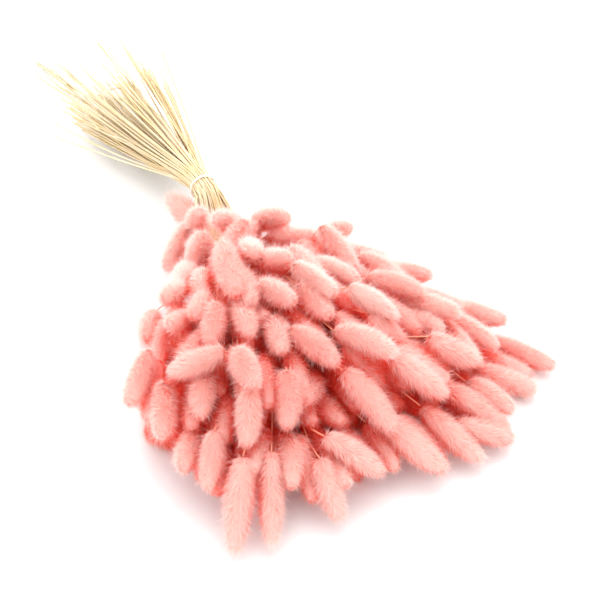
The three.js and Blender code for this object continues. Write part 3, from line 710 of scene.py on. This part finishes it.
def makeFluff(plan):
    # heads that are seen most get the most hairs, and the deep heads make up the last piece
    material = fluffMaterial(fluffLook)
    coreCorners, coreFaces = modelCore(plan)
    middles = np.array([middleOf(head) for head in heads])
    shares = plan["leastShare"] + opennessAt(middles + [0, 0, plan["above"]], crowd, space)
    counts = plan["hairs"] * shares / shares.sum()
    fewer = 1
    groups = [(name, [k for k, head in enumerate(heads) if head["node"] == name]) for name in headNames]
    for name, members in [*groups, (None, range(len(deepHeads)))]:
        corners, faces, colours, start = [], [], [], 0
        for k in members:
            draw = np.random.default_rng([plan["seed"], k, 0 if name else 1])
            head = heads[k] if name else deepHeads[k]
            count = int(counts[k] if name else plan["deepHairs"]) // fewer
            hairs, hairColours = growHairs(head, count, plan["width" if name else "deepWidth"], plan, draw)
            core = placeCore(head, coreCorners, plan)
            coreColours = np.tile([0, draw.random(), 0, 1], (len(core), 1))
            middle = middleOf(head)
            # painted light and shade on the core, measured farther out and kept deeper than on the hair
            # tips
            coreLight = paintedLightAndShade(middle + (core - middle) * plan["coreOut"], plan)
            coreColours[:, 0] = coreLight * plan["corePaintedLightShare"]
            corners += [hairs, core]
            colours += [hairColours, coreColours]
            faces += [np.arange(count * 3).reshape(-1, 3) + start, coreFaces + start + count * 3]
            start += count * 3 + len(core)
        corners, faces = np.concatenate(corners), np.concatenate(faces)
        mesh = meshOf("fluff_" + (name or "deep"), corners, faces, smooth=False)
        setColours(mesh, "hair", np.concatenate(colours))
        addPiece(mesh, material, name)


makeFluff(fluff)
print("fluff grown")


# Stems: one straw is modelled, then bent along the way of each stem, from its cut end to its head.

straws = {
    "seed": 11,
    "sides": 6,
    "rings": 26,
    "radiusHead": 0.5,
    "radiusTie": 0.84,
    "radiusCut": 0.84,
    "uneven": (0.85, 1.15),  # thickness at the cut end
    "taper": 0.7,
    "bow": (1.5, 6),  # how far a stem that isn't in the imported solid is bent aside
    "swaps": 34,  # cut ends that change places, so that stems cross
    "swapWith": (3, 12),  # with which of the nearest ends
    "strays": [
        (16, 0.97), (-14, 0.9), (34, 0.93), (-46, 0.55), (-58, 0.48),
    ],  # how far aside, and share of the longest stem
    "stride": (7, 2),  # which packed stems get a neighbour: every seventh, from the third
    "neighbours": 3,
    "mix": (0.35, 0.65),
    "shorter": (0.78, 1.0),
    "astray": 4,
    "lowestEnd": 1.2,
    "sectionRadius": 9.7,  # all stems pass the tie inside it
    "aim": (40, 20),  # added to the way out from the tie, and the least of it
    "inTie": (-9, 0, 9),  # a stem runs straight between these
    "pastTie": 16,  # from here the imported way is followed
    "between": 24,  # fine steps between two points of a way
    "fineness": 3,  # points of a way to each ring of the straw
    "hollow": 0.62,
    "endPart": 0.03,  # share of the straw whose hollow, inside the rim, is painted dark as painted shade
    "rim": 0.9,
    "under": (15, 45, 22),  # where the cover starts and is full past the tie, and fades before the head
    "cover": 20,
    "lowest": 5,
    "evenOut": 4,
    "dyed": (30, 60),  # where the dye starts past the tie, and over how much it grows
    "floor": 0.15,
}


def modelStraw(sides, rings, hollow):
    # along +Z from the cut end at 0 to the head end at 1; the cut end is hollow
    dip = 0.02
    deselectAll()
    bpy.ops.mesh.primitive_cylinder_add(vertices=sides, radius=1, depth=1, location=(0, 0, 0.5))
    straw = bpy.context.object
    bpy.ops.object.transform_apply(location=True, rotation=True, scale=True)
    bpy.ops.object.mode_set(mode="EDIT")
    edit = bmesh.from_edit_mesh(straw.data)
    upright = [edge for edge in edit.edges if abs(edge.verts[0].co.z - edge.verts[1].co.z) > 0.5]
    bmesh.ops.subdivide_edges(edit, edges=upright, cuts=rings - 1, use_grid_fill=True)
    bpy.ops.mesh.select_all(action="DESELECT")
    for face in edit.faces:
        face.select_set(all(vert.co.z < 1e-6 for vert in face.verts))
    bmesh.update_edit_mesh(straw.data)
    bpy.ops.mesh.inset(thickness=1 - hollow)
    bpy.ops.transform.translate(value=(0, 0, dip))
    bpy.ops.mesh.select_all(action="SELECT")
    bpy.ops.mesh.quads_convert_to_tris()
    bpy.ops.object.mode_set(mode="OBJECT")
    corners = np.array([vert.co for vert in straw.data.vertices])
    faces = np.array([face.vertices for face in straw.data.polygons])
    bpy.data.objects.remove(straw)
    return corners, faces


def walkedAlong(points):
    return np.concatenate([[0], np.cumsum(np.linalg.norm(np.diff(points, axis=0), axis=1))])


def readOff(places, walked, values):
    # rows of values at other places than the walked ones
    return np.stack([np.interp(places, walked, values[:, c]) for c in range(3)], axis=1)


def smoothWay(points, between, count):
    # an even walk along a curve through the points
    points = np.asarray(points, float)
    padded = np.vstack([2 * points[0] - points[1], points, 2 * points[-1] - points[-2]])
    fine = []
    for a, b, c, d in zip(padded, padded[1:], padded[2:], padded[3:]):
        s = np.linspace(0, 1, between, endpoint=False)[:, None]
        spans = [max(np.linalg.norm(q - p), 1e-6) ** 0.5 for p, q in ((a, b), (b, c), (c, d))]
        knots = np.cumsum([0, *spans])
        at = knots[1] + s * (knots[2] - knots[1])
        ab = a + (b - a) * (at - knots[0]) / (knots[1] - knots[0])
        bc = b + (c - b) * (at - knots[1]) / (knots[2] - knots[1])
        cd = c + (d - c) * (at - knots[2]) / (knots[3] - knots[2])
        abc = ab + (bc - ab) * (at - knots[0]) / (knots[2] - knots[0])
        bcd = bc + (cd - bc) * (at - knots[1]) / (knots[3] - knots[1])
        fine.append(abc + (bcd - abc) * (at - knots[1]) / (knots[2] - knots[1]))
    fine = np.vstack([*fine, points[-1:]])
    walked = walkedAlong(fine)
    return readOff(np.linspace(0, walked[-1], count), walked, fine)


def frameAlong(way):
    tangent = unit(np.gradient(way, axis=0))
    across = unit(np.cross(tangent, sideHint))
    return across, np.cross(tangent, across)


def assignPlaces(places, aims):
    # places in the tie are exchanged until no two stems cross on their way out
    order = np.arange(len(places))
    changed = True
    while changed:
        changed = False
        for i in range(len(order)):
            swing = ((places[order[i]] - places[order]) * (aims[i] - aims)).sum(axis=1)
            j = int(swing.argmin())
            if swing[j] < -1e-9:
                order[i], order[j] = order[j], order[i]
                changed = True
    return order


def aimsFrom(ends, towards, plan):
    # which way each stem leaves the tie, seen along the bundle
    more, least = plan["aim"]
    forward = np.maximum((ends[:, 0] - tieCentre[0]) * towards + more, least)
    return (ends[:, 1:] - tieCentre[1:]) / forward[:, None]


def sectionPlaces(plan, count):
    k = np.arange(count)
    radius = plan["sectionRadius"] * np.sqrt((k + 0.5) / count)
    return np.stack([radius * np.cos(k * goldenAngle), radius * np.sin(k * goldenAngle)], axis=1)


def cutWays(plan, count, draw):
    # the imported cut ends, the strays, and more between neighbours until each stem has one
    read = [way[:2] for way in ways["cut"]]
    ends = np.array([way[0] for way in read])
    aims = aimsFrom(ends, -1, plan)
    extra = []
    longest = int(np.linalg.norm(ends - tieCentre, axis=1).argmax())
    for turn, shorter in plan["strays"]:
        end = tieCentre + (ends[longest] - tieCentre) * shorter
        end[1] += turn
        extra.append(np.array([end]))
    stride, start = plan["stride"]
    for k in range(count - len(read) - len(extra)):
        first = (k * stride + start) % len(read)
        apart = np.linalg.norm(aims - aims[first], axis=1)
        second = int(apart.argsort()[1 + k % plan["neighbours"]])
        mix = draw.uniform(*plan["mix"])
        end = ends[first] * mix + ends[second] * (1 - mix)
        end = tieCentre + (end - tieCentre) * draw.uniform(*plan["shorter"])
        end[1:] += draw.uniform(-plan["astray"], plan["astray"], 2)
        end[2] = max(end[2], plan["lowestEnd"])
        extra.append(np.array([end]))
    return read + extra


def keepUnder(way, plan):
    # on the head side a stem stays under the fluff, once it has left the tie and until it nears its head
    fromTie = way[:, 0] - tieCentre[0]
    toHead = np.linalg.norm(way - way[-1], axis=1)
    start, full, end = plan["under"]
    share = np.clip((fromTie - start) / (full - start), 0, 1) * np.clip(toHead / end, 0, 1)
    top = topAt(way)
    over = np.maximum(way[:, 2] - np.maximum(top - plan["cover"], plan["lowest"]), 0)
    window = 2 * plan["evenOut"] + 1
    over = np.convolve(np.pad(over, plan["evenOut"], mode="edge"), np.ones(window) / window, mode="valid")
    way[:, 2] -= over * share
    return way


def topAt(points):
    low, cells = space
    column = np.arange(cells.shape[2])
    height = np.where(cells > 0, column, -1).max(axis=2) * crowd["cell"] + low[2]
    at = np.clip(np.round((points - low) / crowd["cell"]).astype(int), 0, np.array(cells.shape) - 1)
    return np.maximum(height[at[:, 0], at[:, 1]], 0)


def makeStraws(plan):
    draw = np.random.default_rng(plan["seed"])
    strawCorners, strawFaces = modelStraw(plan["sides"], plan["rings"], plan["hollow"])
    places = sectionPlaces(plan, len(heads))
    headEnds = np.array([head["way"][0] for head in heads])
    headOrder = assignPlaces(places, aimsFrom(headEnds, 1, plan))
    cut = cutWays(plan, len(heads), draw)
    cutEnds = np.array([way[0] for way in cut])
    cutOrder = assignPlaces(places, aimsFrom(cutEnds, -1, plan))
    for first in draw.choice(len(cutOrder), plan["swaps"], replace=False):
        nearest = np.linalg.norm(cutEnds - cutEnds[first], axis=1).argsort()
        near = nearest[draw.integers(*plan["swapWith"])]
        cutOrder[first], cutOrder[near] = cutOrder[near], cutOrder[first]
    cutOf = {place: cut[k] for k, place in enumerate(cutOrder)}
    # corners inside the hollow cut end, which get painted shade
    hollow = strawCorners[:, 2] < plan["endPart"]
    hollow &= np.hypot(strawCorners[:, 0], strawCorners[:, 1]) < plan["rim"]
    dyedFrom, dyedOver = plan["dyed"]
    corners, faces, colours, cutSides = [], [], [], []
    for index, head in enumerate(heads):
        place = headOrder[index]
        y, z = places[place]
        cutWay = cutOf[place]
        middle = [tieCentre + [x, y, z] for x in plan["inTie"]]
        headWay = [point for point in head["way"][::-1] if point[0] - tieCentre[0] > plan["pastTie"]]
        if len(cutWay) == 1:
            half = (cutWay[0] + middle[0]) / 2
            cutWay = np.array([cutWay[0], half + [0, *draw.uniform(-1, 1, 2) * draw.uniform(*plan["bow"])]])
        way = smoothWay([*cutWay, *middle, *headWay], plan["between"], plan["rings"] * plan["fineness"])
        way = keepUnder(way, plan)
        fromTie = np.linalg.norm(way - middle[1], axis=1)
        atTie = fromTie.argmin()
        cutSides.append(way[:atTie])
        side, upward = frameAlong(way)
        steps = np.arange(len(way))
        at = strawCorners[:, 2] * (len(way) - 1)
        toHead = at > atTie
        reach = np.interp(at, steps, fromTie)
        share = np.clip(reach / np.where(toHead, max(fromTie[-1], 1), max(fromTie[0], 1)), 0, 1)
        size = draw.uniform(*plan["uneven"])
        thick = np.where(
            toHead,
            plan["radiusTie"] + (plan["radiusHead"] - plan["radiusTie"]) * share ** plan["taper"],
            plan["radiusTie"] + (plan["radiusCut"] * size - plan["radiusTie"]) * share,
        )
        placed = readOff(at, steps, way) + readOff(at, steps, side) * (strawCorners[:, 0] * thick)[:, None]
        placed += readOff(at, steps, upward) * (strawCorners[:, 1] * thick)[:, None]
        placed[:, 2] = np.maximum(placed[:, 2], plan["floor"])
        colour = np.zeros((len(placed), 4))
        colour[:, 0] = draw.random()
        colour[:, 1] = np.where(toHead, np.clip((reach - dyedFrom) / dyedOver, 0, 1), 0)
        colour[:, 2] = hollow
        colour[:, 3] = 1
        faces.append(strawFaces + sum(len(c) for c in corners))
        corners.append(placed)
        colours.append(colour)
    mesh = meshOf("straws", np.concatenate(corners), np.concatenate(faces))
    setColours(mesh, "straw", np.concatenate(colours))
    addPiece(mesh, strawMaterial("dryStraw", strawLook), "stems")
    return cutSides


strawLook = {
    "straw": [
        (0.1, (218, 190, 140)),
        (0.35, (219, 195, 152)),
        (0.6, (221, 201, 166)),
        (0.95, (223, 208, 182)),
    ],
    "toneShare": 0.55,
    "streak": (260, 3, (0.08, 1, 1)),
    "streakShare": 0.5,
    "patch": (35, 3),
    "green": [(0.5, (255, 255, 255)), (0.72, (238, 236, 196))],
    "greenShare": 0.8,
    "dye": (255, 150, 122),
    "dyeShare": 0.9,
    # painted shade: the inside of the hollow cut end is coloured dark brown
    "hollow": (120, 88, 52),
    "hollowPaintedShadeShare": 0.8,
    "roughness": 0.5,
    "specular": 0.35,
    "bump": (0.35, 0.0003),
}


def strawMaterial(name, look):
    material, tree = newMaterial(name)
    tone, dyed, hollow = readAttribute(tree, "straw")
    streak = addNoise(tree, *look["streak"])
    patch = addNoise(tree, *look["patch"])
    ofTone = addMath(tree, "MULTIPLY", tone, look["toneShare"])
    ofStreak = addMath(tree, "MULTIPLY", streak, look["streakShare"])
    dye = addMath(tree, "MULTIPLY", dyed, look["dyeShare"])
    # painted shade inside the hollow cut end
    inside = addMath(tree, "MULTIPLY", hollow, look["hollowPaintedShadeShare"])
    colour = addRamp(tree, addMath(tree, "ADD", ofTone, ofStreak), look["straw"])
    colour = mixColours(tree, "MULTIPLY", look["greenShare"], colour, addRamp(tree, patch, look["green"]))
    colour = mixColours(tree, "MIX", dye, colour, srgb(*look["dye"]))
    colour = mixColours(tree, "MIX", inside, colour, srgb(*look["hollow"]))
    shader = addNode(tree, "ShaderNodeBsdfPrincipled", in_Roughness=look["roughness"])
    shader.inputs["Specular IOR Level"].default_value = look["specular"]
    tree.links.new(colour, shader.inputs["Base Color"])
    addBump(tree, streak, shader, *look["bump"])
    setSurface(tree, shader.outputs["BSDF"])
    return material


bent = makeStraws(straws)
print("stems bent")


# Dry leaves: broad sheaths that lie along the cut stems, and thin curled wisps that stick out of them.

leaves = {
    "seed": 23,
    "sides": 4,
    "rings": 14,
    "hollow": 0.5,
    "kinds": [
        {
            "count": 30, "width": (2.0, 4.2), "length": (55, 120), "from": (0.1, 0.6),
            "drift": 5, "curl": 2.5, "turns": 0.6, "longest": 0, "past": 6,
        },
        {
            "count": 34, "width": (0.9, 1.6), "length": (60, 130), "from": (0.02, 0.45),
            "drift": 22, "curl": 10, "turns": 1.3, "longest": 5, "past": 14,
        },
    ],  # "longest" of them grow on the longest stems, and none ends more than "past" beyond its stem
    "endSteps": 8,
    "driftShare": (0.3, 1),
    "lift": 1.5,
    "twist": 2.5,
    "taper": (0.12, 0.86, 0.8),
    "tonePower": 0.6,
    "thick": 0.16,
    "floor": 0.4,
}


def makeLeaves(plan):
    draw = np.random.default_rng(plan["seed"])
    template, templateFaces = modelStraw(plan["sides"], plan["rings"], plan["hollow"])
    s = template[:, 2]
    least, most, power = plan["taper"]
    corners, faces, colours = [], [], []
    longest = np.argsort([np.linalg.norm(way[0] - tieCentre) for way in bent])[::-1]
    for kind in plan["kinds"]:
        for number in range(kind["count"]):
            chosen = longest[number % 2] if number < kind["longest"] else draw.integers(len(bent))
            source = bent[chosen][::-1]
            walked = walkedAlong(source)
            length = draw.uniform(*kind["length"])
            start = walked[-1] * (1 - draw.uniform(*kind["from"])) - length / 2
            start = min(start, walked[-1] + kind["past"] - length)
            along = start + s * length
            outgoing = unit(source[-1] - source[-plan["endSteps"]])
            centre = readOff(along, walked, source)
            centre += outgoing * np.maximum(along - walked[-1], 0)[:, None]
            side = unit(np.cross(outgoing, [0, 0, 1]))
            rise = np.cross(side, outgoing)
            turn = draw.uniform(0, math.tau)
            away = side * math.cos(turn) + rise * abs(math.sin(turn))
            swing = draw.uniform(*plan["driftShare"]) * kind["drift"] * s ** 2
            wave = kind["curl"] * s ** 2 * np.sin(s * kind["turns"] * math.tau + draw.uniform(0, math.tau))
            aside = away * swing[:, None] + np.cross(away, outgoing) * wave[:, None]
            centre += aside + rise * draw.uniform(0, plan["lift"])
            twist = draw.uniform(0, math.tau) + s * draw.uniform(-plan["twist"], plan["twist"])
            flat = side * np.cos(twist)[:, None] + rise * np.sin(twist)[:, None]
            across = np.cross(flat, outgoing)
            half = draw.uniform(*kind["width"]) / 2 * np.sin(math.pi * (least + most * s)) ** power
            placed = centre + flat * (template[:, 0] * half)[:, None]
            placed += across * (template[:, 1] * plan["thick"])[:, None]
            placed[:, 2] = np.maximum(placed[:, 2], plan["floor"])
            faces.append(templateFaces + sum(len(c) for c in corners))
            corners.append(placed)
            colours.append(np.tile([draw.random() ** plan["tonePower"], 0, 0, 1], (len(placed), 1)))
    mesh = meshOf("dryLeaves", np.concatenate(corners), np.concatenate(faces))
    setColours(mesh, "straw", np.concatenate(colours))
    addPiece(mesh, strawMaterial("dryLeaf", strawLook), None)


makeLeaves(leaves)
print("leaves added")


# Tie: a white elastic band of two turns, which run together on the near side, one over the other.

band = {
    "turns": 2,
    "radius": 10.95,
    "thick": 0.5,
    "wide": 0.72,
    "apart": 0.75,
    "meeting": 2.2,  # how far the place where they meet is turned from the underside, in radians
    "over": 0.5,
    "overWide": 0.25,
    "around": 72,
    "section": 10,
    "modelled": 0.1,
}

bandLook = {
    "grain": (500, 3),
    "white": [(0.3, (236, 228, 212)), (0.7, (252, 248, 240))],
    "roughness": 0.6,
    "bump": (0.3, 0.0002),
}


def bandMaterial(look):
    material, tree = newMaterial("whiteElastic")
    grain = addNoise(tree, *look["grain"])
    shader = addNode(tree, "ShaderNodeBsdfPrincipled", in_Roughness=look["roughness"])
    tree.links.new(addRamp(tree, grain, look["white"]), shader.inputs["Base Color"])
    addBump(tree, grain, shader, *look["bump"])
    setSurface(tree, shader.outputs["BSDF"])
    return material


def makeBand(plan):
    corners, faces = [], []
    for turn in range(plan["turns"]):
        deselectAll()
        bpy.ops.mesh.primitive_torus_add(
            major_radius=1, minor_radius=plan["modelled"],
            major_segments=plan["around"], minor_segments=plan["section"])
        ring = bpy.context.object
        flat = np.array([vert.co for vert in ring.data.vertices])
        quads = np.array([face.vertices for face in ring.data.polygons])
        bpy.data.objects.remove(ring)
        angle = np.arctan2(flat[:, 1], flat[:, 0])
        outwards = (np.hypot(flat[:, 0], flat[:, 1]) - 1) / plan["modelled"]
        aside = flat[:, 2] / plan["modelled"]
        sense = -1 if turn else 1
        drift = sense * plan["apart"] * np.abs(np.cos(angle / 2))
        near = np.exp(-((np.abs(angle) - math.pi) / plan["overWide"]) ** 2)
        lift = near * (plan["over"] if turn else 0)
        radius = plan["radius"] + outwards * plan["thick"] + lift
        placed = np.stack([
            tieCentre[0] + drift + aside * plan["wide"],
            tieCentre[1] + radius * np.sin(angle + plan["meeting"]),
            tieCentre[2] + radius * np.cos(angle + plan["meeting"]),
        ], axis=1)
        faces.append(quads + sum(len(c) for c in corners))
        corners.append(placed)
    mesh = meshOf("elasticBand", np.concatenate(corners), np.concatenate(faces))
    edit = bmesh.new()
    edit.from_mesh(mesh)
    bmesh.ops.recalc_face_normals(edit, faces=edit.faces)
    edit.to_mesh(mesh)
    edit.free()
    addPiece(mesh, bandMaterial(bandLook), "tie")


makeBand(band)
print("band wound")


# A plain pale floor in a bright white world, and soft light from above and behind.

stage = {
    "floor": (226, 226, 226),
    "floorSize": 12,
    "floorLevel": -0.0002,  # a hair under the part, so nothing lies in the floor's own plane
    "world": 1.76,
    "lampPlace": (-1.3, 0.7, 2.5),
    "lampSize": 3.6,
    "lampPower": 72,
}


def makeStage(plan):
    deselectAll()
    bpy.ops.mesh.primitive_plane_add(size=plan["floorSize"], location=(0, 0, plan["floorLevel"]))
    floor = bpy.context.object
    floor.name = "paleFloor"
    bpy.ops.object.transform_apply(location=True, rotation=True, scale=True)
    material, tree = newMaterial("paleFloor")
    shader = addNode(tree, "ShaderNodeBsdfDiffuse")
    shader.inputs["Color"].default_value = srgb(*plan["floor"])
    setSurface(tree, shader.outputs["BSDF"])
    floor.data.materials.append(material)
    world = bpy.data.worlds.new("studio")
    world.use_nodes = True
    world.node_tree.nodes["Background"].inputs["Color"].default_value = (1, 1, 1, 1)
    world.node_tree.nodes["Background"].inputs["Strength"].default_value = plan["world"]
    bpy.context.scene.world = world
    bpy.ops.object.light_add(type="AREA", location=plan["lampPlace"])
    lamp = bpy.context.object
    lamp.data.shape = "DISK"
    lamp.data.size = plan["lampSize"]
    lamp.data.energy = plan["lampPower"]
    lamp.rotation_mode = "QUATERNION"
    lamp.rotation_quaternion = (-Vector(plan["lampPlace"])).to_track_quat("-Z", "Y")
    bpy.context.scene.view_settings.view_transform = "Standard"


makeStage(stage)
print("stage set")
